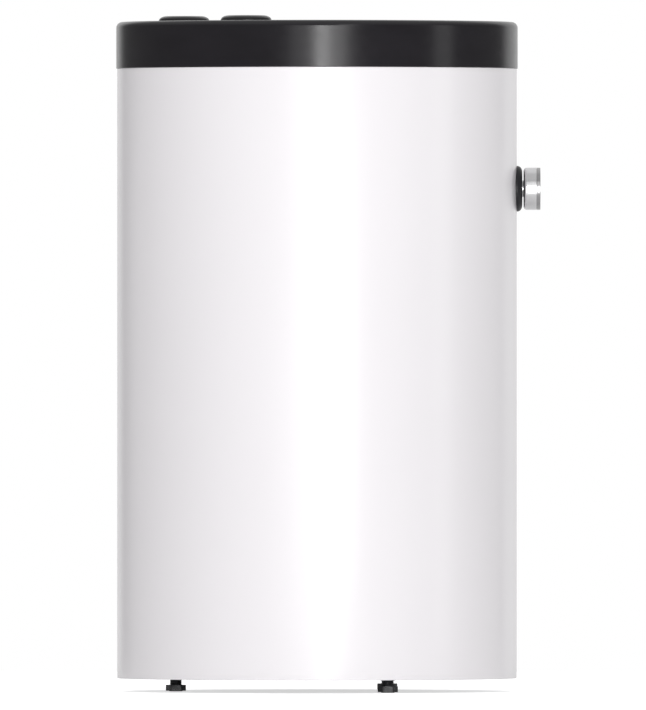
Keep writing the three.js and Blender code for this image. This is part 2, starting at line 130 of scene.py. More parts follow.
def mesh_object(name, points, faces):
    mesh = bpy.data.meshes.new(name)
    mesh.from_pydata(points, [], faces)
    mesh.update()
    return add_object(name, mesh)


def rounded(corners, steps=5):
    """An outline through (radius, height) or (radius, height, fillet in mm) corners, each fillet an arc."""
    outline = []
    for i, (radius, height, *rounding) in enumerate(corners):
        corner = Vector((radius, height))
        if not rounding:
            outline.append((radius, height))
            continue
        fillet = rounding[0] * MM
        to_last = (Vector(corners[i - 1][:2]) - corner).normalized()
        to_next = (Vector(corners[(i + 1) % len(corners)][:2]) - corner).normalized()
        half = to_last.angle(to_next) / 2
        centre = corner + (to_last + to_next).normalized() * fillet / math.sin(half)
        start = corner + to_last * fillet / math.tan(half) - centre
        end = corner + to_next * fillet / math.tan(half) - centre
        sweep = start.angle_signed(end)
        first = math.atan2(start.y, start.x)
        for step in range(steps + 1):
            angle = first - sweep * step / steps
            reach = (fillet * math.cos(angle), fillet * math.sin(angle))
            outline.append((centre.x + reach[0], centre.y + reach[1]))
    return outline


def ring(inner, outer, low, high, fillets, steps=5):
    """A plain ring's outline, with four fillets in mm from its inner lower corner on."""
    corners = ((inner, low), (outer, low), (outer, high), (inner, high))
    return rounded([(*corner, fillet) for corner, fillet in zip(corners, fillets)], steps)


def arc(centre, radii, first, last, steps):
    """Points on an upright ellipse about centre, from the first to the last angle in degrees."""
    angles = [math.radians(first + (last - first) * i / steps) for i in range(steps + 1)]
    return [(centre[0] + radii[0] * math.cos(a), centre[1] + radii[1] * math.sin(a)) for a in angles]


def evenly(count):
    return [TURN * i / count for i in range(count)]


def revolve(name, outline, place, angles=96, warp=None):
    """A closed skin turned about Z from (radius, height) points, then put in place.

    The outline runs anticlockwise, from axis to axis or round a loop. angles is a number of even columns,
    or their list. warp(radius, height, angle) may move a point.
    """
    columns = evenly(angles) if isinstance(angles, int) else angles
    points, rings = [], []
    for radius, height in outline:
        on_axis = radius < ON_AXIS
        ring = []
        for angle in columns[:1] if on_axis else columns:
            r, z = warp(radius, height, angle) if warp else (radius, height)
            ring.append(len(points))
            points.append(place @ Vector((r * math.cos(angle), r * math.sin(angle), z)))
        rings.append(ring * len(columns) if on_axis else ring)
    pairs = list(zip(rings, rings[1:]))
    if outline[0][0] > ON_AXIS:
        pairs.append((rings[-1], rings[0]))
    faces = []
    for lower, upper in pairs:
        for i in range(len(columns)):
            j = (i + 1) % len(columns)
            corners = dict.fromkeys((lower[i], lower[j], upper[j], upper[i]))
            if len(corners) > 2:
                faces.append(tuple(corners))
    return mesh_object(name, points, faces)


def settle(made):
    """Applies a piece's modifiers, so that what is left is one plain mesh."""
    graph = bpy.context.evaluated_depsgraph_get()
    mesh = bpy.data.meshes.new_from_object(made.evaluated_get(graph))
    made.modifiers.clear()
    made.data = mesh


def cut(made, *tools):
    """Cuts closed tools out of a piece, and removes the tools."""
    for tool in tools:
        modifier = made.modifiers.new("cut", "BOOLEAN")
        modifier.operation = "DIFFERENCE"
        modifier.solver = "EXACT"
        modifier.object = tool
    settle(made)
    for tool in tools:
        bpy.data.objects.remove(tool)
    return made


def drill(radius, low, high, place, chamfer=0.0, sides=64):
    """A tool for one hole, flared at its upper end by the chamfer."""
    outline = [(0, low), (radius, low), (radius, high - chamfer)]
    if chamfer:
        outline += [(radius + 3 * chamfer, high + 2 * chamfer)]
    else:
        outline += [(radius, high)]
    return revolve("drill", outline + [(0, outline[-1][1])], place, sides)


def join(name, *parts):
    """One object of several meshes."""
    points, faces = [], []
    for part in parts:
        start = len(points)
        points += [v.co.copy() for v in part.data.vertices]
        faces += [tuple(start + v for v in face.vertices) for face in part.data.polygons]
        bpy.data.objects.remove(part)
    return mesh_object(name, points, faces)


def stations(low, high, step):
    count = max(1, round((high - low) / step))
    return [low + (high - low) * i / count for i in range(count + 1)]


def thread(radius, depth, pitch, low, high):
    """A warp that turns a plain wall of this radius into a screw thread between two heights."""
    def warp(r, z, angle):
        if abs(r - radius) > NEAR or not low <= z <= high:
            return r, z
        phase = (z / pitch - angle / TURN) % 1
        groove = min(1, max(0, 1.6 * abs(2 * phase - 1) - 0.3))
        fade = min(1, (z - low) / pitch, (high - z) / pitch)
        return r - depth * groove * fade, z
    return warp


HEX_SLOPE = 1.7
HEX_WEAR = 0.25 * MM


def hexagonal(corner_radius, low, high, chamfered=(True, True), face=0.96):
    """A warp that cuts a round head down to a hexagon with worn corners.

    chamfered says whether its lower and its upper end are coned. A cone starts at face times the distance
    to a flat, and widens by HEX_SLOPE.
    """
    flat = corner_radius * math.cos(TURN / 12)
    worn_corner = corner_radius - HEX_WEAR

    def warp(r, z, angle):
        if r < 0.9 * corner_radius or not low - NEAR <= z <= high + NEAR:
            return r, z
        from_flat = (angle + TURN / 12) % (TURN / 6) - TURN / 12
        limits = [worn_corner, flat / math.cos(from_flat - math.copysign(TURN / 12, from_flat))]
        if chamfered[0]:
            limits.append(face * flat + HEX_SLOPE * (z - low))
        if chamfered[1]:
            limits.append(face * flat + HEX_SLOPE * (high - z))
        return min(limits), z
    return warp


def chained(*warps):
    def warp(r, z, angle):
        for one in warps:
            r, z = one(r, z, angle)
        return r, z
    return warp


# ---------------- materials

class Finish:
    """A node material: a Principled shader with procedural detail in object space, in metres."""

    def __init__(self, name, color, roughness, metallic=0.0, **sockets):
        self.material = bpy.data.materials.new(name)
        self.material.use_nodes = True
        self.tree = self.material.node_tree
        self.shader = self.tree.nodes["Principled BSDF"]
        self.shader.inputs["Base Color"].default_value = (*color, 1)
        self.shader.inputs["Roughness"].default_value = roughness
        self.shader.inputs["Metallic"].default_value = metallic
        for socket, value in sockets.items():
            self.shader.inputs[socket.replace("_", " ")].default_value = value
        self.space = self.node("ShaderNodeTexCoord").outputs["Object"]

    def node(self, kind, **settings):
        made = self.tree.nodes.new(kind)
        for setting, value in settings.items():
            setattr(made, setting, value)
        return made

    def link(self, source, target):
        self.tree.links.new(source, target)

    def stretched(self, stretch):
        """Object space squeezed along its axes, for grain that runs one way."""
        mapping = self.node("ShaderNodeMapping")
        mapping.inputs["Scale"].default_value = stretch
        self.link(self.space, mapping.inputs["Vector"])
        return mapping.outputs["Vector"]

    def noise(self, scale, detail=3.0, stretch=None):
        made = self.node("ShaderNodeTexNoise")
        made.inputs["Scale"].default_value = scale
        made.inputs["Detail"].default_value = detail
        self.link(self.stretched(stretch) if stretch else self.space, made.inputs["Vector"])
        return made.outputs["Fac"]

    def cells(self, scale):
        made = self.node("ShaderNodeTexVoronoi")
        made.inputs["Scale"].default_value = scale
        self.link(self.space, made.inputs["Vector"])
        return made

    def ranged(self, value, low, high, span=(0.3, 0.7)):
        made = self.node("ShaderNodeMapRange")
        made.inputs["From Min"].default_value = span[0]
        made.inputs["From Max"].default_value = span[1]
        made.inputs["To Min"].default_value = low
        made.inputs["To Max"].default_value = high
        self.link(value, made.inputs["Value"])
        return made.outputs["Result"]

    def rough(self, value, low, high):
        self.link(self.ranged(value, low, high), self.shader.inputs["Roughness"])

    def tinted(self, value, dark, light, span=(0.3, 0.7)):
        """Colour that drifts between two tones with a value."""
        mix = self.node("ShaderNodeMix", data_type="RGBA")
        for socket, tone in zip([s for s in mix.inputs if s.type == "RGBA"], (dark, light)):
            socket.default_value = (*tone, 1)
        self.link(self.ranged(value, 0, 1, span), mix.inputs["Factor"])
        colour = next(s for s in mix.outputs if s.type == "RGBA")
        self.link(colour, self.shader.inputs["Base Color"])

    def swap(self, share, first, second):
        """Shows the second shader where share is 1, and the first where it is 0."""
        mix = self.node("ShaderNodeMixShader")
        for source, target in zip((share, first, second), mix.inputs):
            self.link(source, target)
        self.link(mix.outputs[0], self.tree.nodes["Material Output"].inputs["Surface"])

    def relief(self, value, depth, strength=1.0):
        """Fine relief of this depth in metres, on top of any relief there already is."""
        bump = self.node("ShaderNodeBump")
        bump.inputs["Distance"].default_value = depth
        bump.inputs["Strength"].default_value = strength
        self.link(value, bump.inputs["Height"])
        target = self.shader.inputs["Normal"]
        if target.links:
            self.link(target.links[0].from_socket, bump.inputs["Normal"])
        self.link(bump.outputs["Normal"], target)


def grained(finish, tone, rough, relief):
    """Tone, roughness and relief that follow noise; each starts with its noise's scale and detail."""
    finish.tinted(finish.noise(*tone[0]), *tone[1:])
    finish.rough(finish.noise(*rough[0]), *rough[1:])
    finish.relief(finish.noise(*relief[0]), *relief[1:])
    return finish.material


def jacket_paint():
    """White baked enamel on sheet steel: a faint orange peel and slow drifts of tone."""
    return grained(
        Finish("jacket_paint", (0.80, 0.80, 0.81), 0.3, Coat_Weight=0.5, Coat_Roughness=0.12),
        ((2.2, 2), (0.738, 0.718, 0.738), (0.75, 0.73, 0.75)),
        ((12, 2), 0.29, 0.32), ((260, 2), 0.0025 * MM),
    )


def moulded(name, color, low, high, depth, specular=0.5):
    """Moulded black plastic: fine grain, slight flow marks and a little uneven gloss."""
    finish = Finish(name, color, low, Specular_IOR_Level=specular)
    lighter = tuple(1.35 * c for c in color)
    finish.tinted(finish.noise(9, 4, (1, 1, 3)), color, lighter)
    finish.rough(finish.noise(70, 4), low, high)
    finish.relief(finish.noise(900, 3), depth)
    return finish.material


def lid_plastic():
    return moulded("lid_plastic", (0.0095, 0.0085, 0.0105), 0.19, 0.23, 0.004 * MM)


def rosette_plastic():
    tone = (0.009, 0.009, 0.0105)
    return moulded("rosette_plastic", tone, 0.36, 0.44, 0.02 * MM, specular=0.35)


def thermometer_chrome():
    return plated("thermometer_chrome", (0.74, 0.735, 0.745), (0.77, 0.765, 0.775), 0.24)


def bezel_chrome():
    """The bezel's plate, darker than the case."""
    return plated("bezel_chrome", (0.40, 0.395, 0.40), (0.44, 0.435, 0.44), 0.2)


def plated(name, dark, light, roughness):
    """Chrome plate with faint turning lines and a few smears."""
    finish = Finish(name, light, roughness, 1.0)
    finish.rough(finish.noise(120, 2), roughness, roughness + 0.03)
    finish.tinted(finish.noise(45, 2), dark, light)
    finish.relief(finish.noise(220, 2, (14, 1, 1)), 0.0008 * MM)
    return finish.material


def lens_glass():
    """Clear flat glass with the faintest waviness. Shadow and diffuse rays go straight through it,
    so that the dial behind it is lit.
    """
    finish = Finish("lens_glass", (0.97, 0.985, 0.99), 0.02, Transmission_Weight=1.0, IOR=1.5)
    finish.rough(finish.noise(140, 3), 0.01, 0.035)
    finish.relief(finish.noise(60, 1), 0.004 * MM)
    path = finish.node("ShaderNodeLightPath")
    passing = finish.node("ShaderNodeMath", operation="MAXIMUM")
    finish.link(path.outputs["Is Shadow Ray"], passing.inputs[0])
    finish.link(path.outputs["Is Diffuse Ray"], passing.inputs[1])
    clear = finish.node("ShaderNodeBsdfTransparent")
    finish.swap(passing.outputs[0], finish.shader.outputs[0], clear.outputs[0])
    return finish.material


def dial_face():
    """Matt white lacquer over aluminium."""
    return grained(
        Finish("dial_face", (0.84, 0.84, 0.82), 0.5),
        ((60, 3), (0.81, 0.81, 0.79), (0.87, 0.87, 0.85)),
        ((500, 2), 0.42, 0.56), ((2200, 2), 0.006 * MM),
    )


def needle_paint():
    """Black ink and needle lacquer."""
    return grained(
        Finish("needle_paint", (0.016, 0.016, 0.018), 0.4),
        ((400, 3), (0.012, 0.012, 0.014), (0.026, 0.026, 0.028)),
        ((900, 2), 0.32, 0.48), ((2500, 2), 0.005 * MM),
    )


def foot_metal():
    """Black passivated steel, a little paler where the surface is worn."""
    return grained(
        Finish("foot_metal", (0.02, 0.02, 0.022), 0.3, Specular_IOR_Level=0.7),
        ((160, 5), (0.02, 0.02, 0.022), (0.046, 0.046, 0.048)),
        ((420, 4), 0.24, 0.38), ((1300, 3), 0.02 * MM),
    )


def rubber(name, tone):
    return grained(
        Finish(name, (tone, tone, tone), 0.8),
        ((240, 4), (0.7 * tone,) * 3, (1.6 * tone,) * 3), ((600, 3), 0.72, 0.9), ((1500, 3), 0.04 * MM),
    )


def foot_rubber():
    return rubber("foot_rubber", 0.02)


def gasket_rubber():
    return rubber("gasket_rubber", 0.035)


def galvanised_steel():
    """Zinc with large soft spangles and brighter grain."""
    finish = Finish("galvanised_steel", (0.6, 0.61, 0.63), 0.4, 1.0)
    spangle = finish.cells(140)
    finish.tinted(spangle.outputs["Color"], (0.5, 0.515, 0.54), (0.7, 0.71, 0.725), (0.1, 0.9))
    finish.rough(finish.noise(90, 4), 0.3, 0.5)
    finish.relief(spangle.outputs["Distance"], 0.006 * MM)
    return finish.material


def plain_steel():
    """Bare steel with drawn lines round its height and a thin oil haze."""
    return grained(
        Finish("plain_steel", (0.5, 0.5, 0.51), 0.35, 1.0),
        ((25, 4), (0.42, 0.42, 0.43), (0.55, 0.545, 0.54)),
        ((60, 4, (1, 1, 30)), 0.26, 0.46), ((90, 3, (1, 1, 24)), 0.008 * MM),
    )


def tank_enamel():
    """Blue fired glass enamel, glossy and slightly rippled."""
    return grained(
        Finish("tank_enamel", (0.02, 0.055, 0.13), 0.15, Coat_Weight=0.4, Coat_Roughness=0.05),
        ((14, 5), (0.012, 0.035, 0.09), (0.03, 0.08, 0.17)), ((40, 3), 0.1, 0.24), ((110, 3), 0.05 * MM),
    )


def brass():
    """Turned brass, a little darkened."""
    return grained(
        Finish("brass", (0.62, 0.45, 0.2), 0.3, 1.0),
        ((70, 5), (0.42, 0.29, 0.12), (0.68, 0.5, 0.23)),
        ((160, 4, (1, 1, 8)), 0.2, 0.42), ((300, 3, (1, 1, 10)), 0.006 * MM),
    )


def magnesium():
    """Cast magnesium with a chalky bloom."""
    return grained(
        Finish("magnesium", (0.46, 0.47, 0.45), 0.6, 0.8),
        ((60, 6), (0.34, 0.345, 0.33), (0.6, 0.61, 0.59)), ((130, 5), 0.5, 0.8), ((420, 4), 0.05 * MM),
    )


def blown_foam():
    """Rigid foam: a skin of small pores in pale straw yellow."""
    finish = Finish("blown_foam", (0.72, 0.62, 0.36), 0.95)
    finish.tinted(finish.noise(26, 5), (0.6, 0.49, 0.25), (0.8, 0.7, 0.44))
    pores = finish.cells(420)
    finish.relief(pores.outputs["Distance"], 0.7 * MM, 0.6)
    finish.relief(finish.noise(70, 4), 1.2 * MM, 0.5)
    return finish.material


def grey_felt():
    """Needled grey felt with crossing fibres."""
    finish = Finish("grey_felt", (0.2, 0.21, 0.22), 1.0, Sheen_Weight=0.3)
    finish.tinted(finish.noise(130, 6), (0.1, 0.105, 0.11), (0.3, 0.31, 0.32))
    finish.relief(finish.noise(900, 4, (1, 0.2, 1)), 0.5 * MM, 0.7)
    finish.relief(finish.noise(900, 4, (0.2, 1, 1)), 0.5 * MM, 0.7)
    return finish.material


def tube_plastic():
    """Translucent white pipe plastic."""
    return grained(
        Finish("tube_plastic", (0.8, 0.8, 0.77), 0.4, Subsurface_Weight=0.15),
        ((30, 3), (0.76, 0.76, 0.72), (0.84, 0.84, 0.81)), ((120, 3), 0.34, 0.5), ((300, 2), 0.02 * MM),
    )


MATERIALS = {
    make.__name__: make()
    for make in (
        jacket_paint, lid_plastic, rosette_plastic, lens_glass, dial_face, needle_paint, foot_metal,
        foot_rubber, galvanised_steel, plain_steel, tank_enamel, brass, magnesium, blown_foam, grey_felt,
        gasket_rubber, tube_plastic, thermometer_chrome, bezel_chrome,
    )
}


# ---------------- pieces

SHARP = math.radians(32)    # an edge that turns more than this is shaded as a real edge


def dress(made, slot):
    """Gives a mesh its material and smooth shading that keeps real edges."""
    made.data.materials.clear()
    made.data.materials.append(MATERIALS[slot])
    made.data.shade_smooth()
    made.data.set_sharp_from_angle(angle=SHARP)
    weighted = made.modifiers.new("weighted", "WEIGHTED_NORMAL")
    weighted.keep_sharp = True


def piece(made, node):
    """A finished form that stands for a CAD node, on that node's body and in its slot."""
    made.name = f"{node}_form"
    dress(made, SLOT_OF[node])
    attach(made, BODY_OF[node])
    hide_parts(node)


def turned(node, outline, columns, warp=None):
    """A piece turned about its node's own upright axis."""
    piece(revolve(node, outline, upright(node), columns, warp), node)


def printed(made, name, node, slot):
    """Something extra on a node's body, such as a dial's printing."""
    made.name = name
    dress(made, slot)
    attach(made, BODY_OF[node])


# ---------------- jacket

SEAM_HALF = 1.2 * MM
SEAM_DEPTH = 0.5 * MM
SEAM_EDGE = 0.25 * MM


def seamed(r, z, angle):
    """Lets the jacket's upright seam in at the back, on the tank's -X side."""
    off = abs(angle - TURN / 2) * JACKET_RADIUS
    inset = min(1, max(0, (SEAM_HALF + SEAM_EDGE - off) / (2 * SEAM_EDGE)))
    return (r - SEAM_DEPTH * inset if r > JACKET_RADIUS - SHEET / 2 else r), z


def jacket():
    low, high = BOX["jacket"]
    hem_top = low.z + 12 * MM
    wall = JACKET_RADIUS - SHEET
    outline = rounded([
        (wall - SHEET, low.z, 0.4),
        (JACKET_RADIUS, low.z, 0.9),
        (JACKET_RADIUS, high.z, 0.3),
        (wall, high.z, 0.3),
        (wall, hem_top),
        (wall - SHEET, hem_top, 0.3),
    ])
    edges = [side * (SEAM_HALF + edge) for side in (-1, 1) for edge in (-SEAM_EDGE, 0, SEAM_EDGE)]
    angles = sorted(evenly(240) + [TURN / 2 + edge / JACKET_RADIUS for edge in edges])
    shell = revolve("jacket", outline, TANK, angles, seamed)
    hole = drill(18 * MM, *SIDE_CUTS["jacket"], DIAL)
    piece(cut(shell, hole), "jacket")


# ---------------- lid and caps

LID_EDGE = 9    # the fillet round its top, in mm
LID_WALL = 3 * MM
LIP_WALL = 2.5 * MM
CAP_SKIRT = 32 * MM
CRUSH_RIBS = 12
CRUSH_HEIGHT = 0.3 * MM


def lid():
    low, high, radius = sized("lid")
    skirt = BOX["jacket"][1].z + GAP
    lip = JACKET_RADIUS - SHEET - 0.6 * MM
    inner = high.z - LID_WALL
    outline = rounded([
        (lip - LIP_WALL, low.z, 0.6),
        (lip, low.z, 0.6),
        (lip, skirt, 0.3),
        (radius, skirt, 0.7),
        (radius, high.z, LID_EDGE),
        (0, high.z),
        (0, inner),
        (lip - LIP_WALL, inner, 5),
    ], 9)
    shell = revolve("lid", outline, TANK, 240)
    hole = CAP_SKIRT + 0.5 * MM
    holes = [drill(hole, inner - 4 * MM, high.z, place, 0.5 * MM) for place in CAP_PLACES]
    piece(cut(shell, *holes), "lid")


def crushed(r, z, angle):
    """Small upright crush ribs round a cap's skirt."""
    if abs(r - CAP_SKIRT) > 0.1 * MM:
        return r, z
    return r + CRUSH_HEIGHT * max(0, math.cos(CRUSH_RIBS * angle)) ** 8, z


def cap(n):
    node = f"pipe_cap_{n}"
    low, high, radius = sized(node)
    base = BOX["lid"][1].z + GAP
    rim = base + 0.95 * MM
    ceiling = high.z - 2.5 * MM
    bore = 30 * MM
    land = radius - 0.55 * MM
    crown = 12.2 * MM
    outline = rounded([
        (0, ceiling),
        (bore, ceiling, 3.5),
        (bore, low.z, 0.5),
        (CAP_SKIRT, low.z, 0.9),
        (CAP_SKIRT, base, 0.2),
        (radius, base, 0.25),
        (radius, rim, 0.3),
        (land, rim),
    ])
    outline += arc((land - crown, rim), (crown, high.z - rim), 2, 90, 14)
    outline += [(8 * MM, high.z), (0, high.z)]
    turned(node, outline, 144, crushed)


QUILT_DEPTH = 0.6 * MM
QUILT_SCALE = 30
PAD_MIDDLE = middle("lid_insulation").z


def quilted(r, z, angle):
    """Felt whose two faces are a little uneven, never past the pad's own thickness."""
    x, y = r * math.cos(angle), r * math.sin(angle)
    dimple = noise.noise(Vector((x, y, z)) * QUILT_SCALE)
    return r, z + (QUILT_DEPTH * (dimple - 1) if z > PAD_MIDDLE else QUILT_DEPTH * (dimple + 1))


def lid_insulation():
    low, high, radius = sized("lid_insulation")
    wall = stations(40 * MM, radius - 4 * MM, 12 * MM)
    outline = [(0, low.z)] + [(r, low.z) for r in wall]
    outline += rounded([
        (wall[-1], low.z), (radius, low.z, 3), (radius, high.z, 3), (0, high.z),
    ])[1:-1]
    outline += [(r, high.z) for r in reversed(wall)] + [(0, high.z)]
    pad = revolve("lid_insulation", outline, TANK, 144, quilted)
    holes = [drill(35.5 * MM, low.z - MM, high.z + MM, place) for place in CAP_PLACES]
    piece(cut(pad, *holes), "lid_insulation")


# ---------------- base and feet

HEX_CORNER = 15.35 * MM
STEM = 9 * MM
FOOT_PITCH = 2 * MM
FOOT_THREAD_DEPTH = 0.75 * MM


def foot_screw(n):
    node = f"foot_screw_{n}"
    low, high = BOX[node]
    head_top = low.z + 8.8 * MM
    recess = BOX[f"foot_pad_{n}"][1].z + GAP
    recess_radius = 10.65 * MM
    neck = head_top + 0.8 * MM
    cone = 1.6 * MM
    fine = 0.2 * MM
    outline = [(0, recess), (recess_radius, recess), (recess_radius, low.z)]
    outline += [(HEX_CORNER, z) for z in stations(low.z, low.z + cone, fine)]
    outline += [(HEX_CORNER, z) for z in stations(head_top - cone, head_top, fine)]
    outline += [(STEM + 1.2 * MM, head_top), (STEM - 0.9 * MM, neck)]
    outline += [(STEM, z) for z in stations(neck + 0.8 * MM, high.z - 1.2 * MM, FOOT_PITCH / 7)]
    outline += [(STEM - 1.1 * MM, high.z), (0, high.z)]
    shape = chained(
        hexagonal(HEX_CORNER, low.z, head_top, face=1.1),
        thread(STEM, FOOT_THREAD_DEPTH, FOOT_PITCH, neck, high.z),
    )
    turned(node, outline, 60, shape)


def foot_pad(n):
    node = f"foot_pad_{n}"
    low, high, radius = sized(node)
    outline = rounded([
        (0, low.z),
        (radius, low.z, 0.5),
        (radius, high.z, 0.3),
        (0, high.z),
    ])
    grooves = [radius * share for share in (0.35, 0.6)]

    def grooved(r, z, angle):
        near = min(abs(r - groove) for groove in grooves)
        return r, z + (0.4 * MM if z < low.z + NEAR and near < NEAR else 0)
    rings = [(r + side * 0.5 * MM, low.z) for r in grooves for side in (-1, 0, 1)]
    piece(revolve(node, outline[:1] + rings + outline[1:], upright(node), 72, grooved), node)


def foot_bush(n):
    node = f"foot_bush_{n}"
    low, high = BOX[node]
    nose = 11 * MM
    shoulder = half_width(node)
    bore = 9.42 * MM
    step = BOX["support_ring"][0].z + 4.3 * MM
    outline = rounded([
        (bore, low.z, 0.4),
        (nose, low.z, 0.5),
        (nose, step),
        (shoulder, step, 0.5),
        (shoulder, high.z, 0.8),
        (bore, high.z, 0.4),
    ])
    turned(node, outline, 72)


PAN_WALL = 1.5 * MM
PAN_BEADS = (70 * MM, 140 * MM, 262 * MM)
BEAD_HALF = 7 * MM
BEAD_RISE = 1.6 * MM
FLOOR_BELOW = 24.5 * MM    # every point of the pan's floor is lower than this
FOOT_HOLE = 11.3 * MM


def beaded(r, z, angle):
    """Pressed stiffening beads round the pan's floor, standing up into it."""
    off = min(abs(r - bead) for bead in PAN_BEADS)
    rise = BEAD_RISE * 0.5 * (1 + math.cos(math.pi * min(1, off / BEAD_HALF)))
    return r, z + (rise if z < FLOOR_BELOW else 0)


def base_pan():
    low, high, radius = sized("base_pan")
    floor = stations(0, radius - 6 * MM, 2 * MM)
    outline = [(r, low.z) for r in floor]
    outline += rounded([
        (floor[-1], low.z),
        (radius, low.z, 3),
        (radius, high.z, 0.4),
        (radius - PAN_WALL, high.z, 0.4),
        (radius - PAN_WALL, low.z + PAN_WALL, 1.5),
        (floor[-1], low.z + PAN_WALL),
    ])[1:-1]
    outline += [(r, low.z + PAN_WALL) for r in reversed(floor)]
    pan = revolve("base_pan", outline, TANK, 144, beaded)
    holes = [drill(FOOT_HOLE, 0, 50 * MM, place) for place in FOOT_PLACES]
    piece(cut(pan, *holes), "base_pan")


# ---------------- thermometer

CASE_RADIUS = half_width("thermometer_case")
CASE_REAR = 308.8 * MM
ROSETTE_FACE = 25.3 * MM
NECK = 12.3 * MM


def rosette():
    rear, front = along("thermometer_rosette")
    radius = half_width("thermometer_rosette")
    bore = NECK + 0.6 * MM
    roundness = 7.5 * MM
    step = front - 0.5 * MM
    face = [(bore, rear), (radius, rear), (radius, front - roundness)]
    face += arc((ROSETTE_FACE, front - roundness), (radius - ROSETTE_FACE, roundness), 6, 90, 12)
    face += [(bore + 2.6 * MM, front), (bore + 1.4 * MM, step), (bore + 0.3 * MM, step)]
    face += [(bore, front - 0.8 * MM)]
    saddle = JACKET_RADIUS + GAP

    def saddled(r, z, angle):
        if z > rear + NEAR:
            return r, z
        return r, math.sqrt(saddle ** 2 - (r * math.sin(angle)) ** 2)
    piece(revolve("rosette", face, dial_place(), 144, saddled), "thermometer_rosette")


def case():
    hub_rear, front = along("thermometer_case")
    inside = CASE_RADIUS - 1.5 * MM
    floor = CASE_REAR + 2.2 * MM
    bore = 4.97 * MM
    outline = rounded([
        (bore, hub_rear, 0.3),
        (NECK, hub_rear, 0.6),
        (NECK, CASE_REAR, 0.7),
        (CASE_RADIUS, CASE_REAR, 4.6),
        (CASE_RADIUS, front, 0.4),
        (inside, front, 0.3),
        (inside, floor, 1.5),
        (bore, floor, 0.3),
    ], 9)
    piece(revolve("case", outline, dial_place(), 160), "thermometer_case")


def bezel():
    rear, front = along("thermometer_bezel")
    collar = along("thermometer_case")[1] + GAP
    lens_front = along("thermometer_lens")[1] + GAP
    rim = CASE_RADIUS
    tongue = rim - 1.8 * MM
    inside = rim - 2.9 * MM
    window = rim - 4.3 * MM
    outline = rounded([
        (inside, rear, 0.2),
        (tongue, rear, 0.2),
        (tongue, collar),
        (rim, collar, 0.35),
        (rim, front, 0.45),
        (inside, front, 0.5),
        (window, front - 1.2 * MM, 0.5),
        (window, lens_front, 0.2),
        (inside, lens_front),
    ], 6)
    piece(revolve("bezel", outline, dial_place(), 160), "thermometer_bezel")


def lens():
    rear, front = along("thermometer_lens")
    radius = half_width("thermometer_lens")
    crown = 0.2 * MM
    outline = rounded([(0, rear), (radius, rear, 0.25), (radius, front - crown, 0.25)])
    outline += [(radius * share, front - crown * share ** 2) for share in (0.9, 0.7, 0.5, 0.3)]
    outline.append((0, front))
    piece(revolve("lens", outline, dial_place(), 128), "thermometer_lens")


SCALE_TOP = 120
SCALE_STEP = 2
TENS = 10
TWENTIES = 20
SCALE_START = 225
SCALE_SWEEP = 270
NUMERAL_RADIUS = 17 * MM
NUMERAL_HEIGHT = 4.2 * MM


def seen_at(value):
    """The angle of a value on the dial, anticlockwise from the right as seen from the front."""
    return math.radians(SCALE_START - SCALE_SWEEP * value / SCALE_TOP)


def bar(inner, outer, width, rear, thickness, turn):
    """A thin printed mark along a radius, on the dial's face."""
    half = width / 2
    corners = [(inner, -half), (outer, -half), (outer, half), (inner, half)]
    place = dial_place() @ Matrix.Rotation(turn, 4, "Z")
    points = [place @ Vector((x, y, z)) for z in (rear, rear + thickness) for x, y in corners]
    sides = [(i, (i + 1) % 4, (i + 1) % 4 + 4, i + 4) for i in range(4)]
    return mesh_object("bar", points, [(3, 2, 1, 0), (4, 5, 6, 7), *sides])


def scale_turn(value):
    """The turn about the dial's own axis at which a value's mark stands."""
    seen = seen_at(value)
    return math.atan2(math.cos(seen), -math.sin(seen))


def numeral(value, radius, height, rear, thickness):
    """A number standing upright on the dial's face."""
    text = bpy.data.curves.new("numeral", "FONT")
    text.body = str(value)
    text.size = height
    text.align_x = "CENTER"
    text.align_y = "CENTER"
    text.extrude = thickness / 2
    made = add_object("numeral", text)
    graph = bpy.context.evaluated_depsgraph_get()
    flat = bpy.data.meshes.new_from_object(made.evaluated_get(graph))
    seen = seen_at(value)
    height_above = middle("thermometer_bezel").z + radius * math.sin(seen)
    centre = Vector((TANK_X + rear, radius * math.cos(seen), height_above))
    facing = Matrix(((0, 0, 1, 0), (1, 0, 0, 0), (0, 1, 0, 0), (0, 0, 0, 1)))
    flat.transform(Matrix.Translation(centre) @ facing)
    bpy.data.objects.remove(made)
    return add_object("numeral", flat)


def dial():
    rear, front = along("thermometer_dial")
    radius = half_width("thermometer_dial")
    bore = 2.5 * MM
    outline = ring(bore, radius, rear, front, (0.1, 0.2, 0.3, 0.1), 3)
    piece(revolve("dial", outline, dial_place(), 128), "thermometer_dial")
    ink = 0.05 * MM
    outer = 25.5 * MM
    marks = []
    for value in range(0, SCALE_TOP + 1, SCALE_STEP):
        long = 4.4 * MM if value % TWENTIES == 0 else 3.2 * MM if value % TENS == 0 else 1.9 * MM
        width = 0.6 * MM if value % TENS == 0 else 0.3 * MM
        marks.append(bar(outer - long, outer, width, front, ink, scale_turn(value)))
    marks += [
        numeral(value, NUMERAL_RADIUS, NUMERAL_HEIGHT, front, 2 * ink)
        for value in range(0, SCALE_TOP + 1, TWENTIES)
    ]
    printed(join("marks", *marks), "dial_marks", "thermometer_dial", "needle_paint")


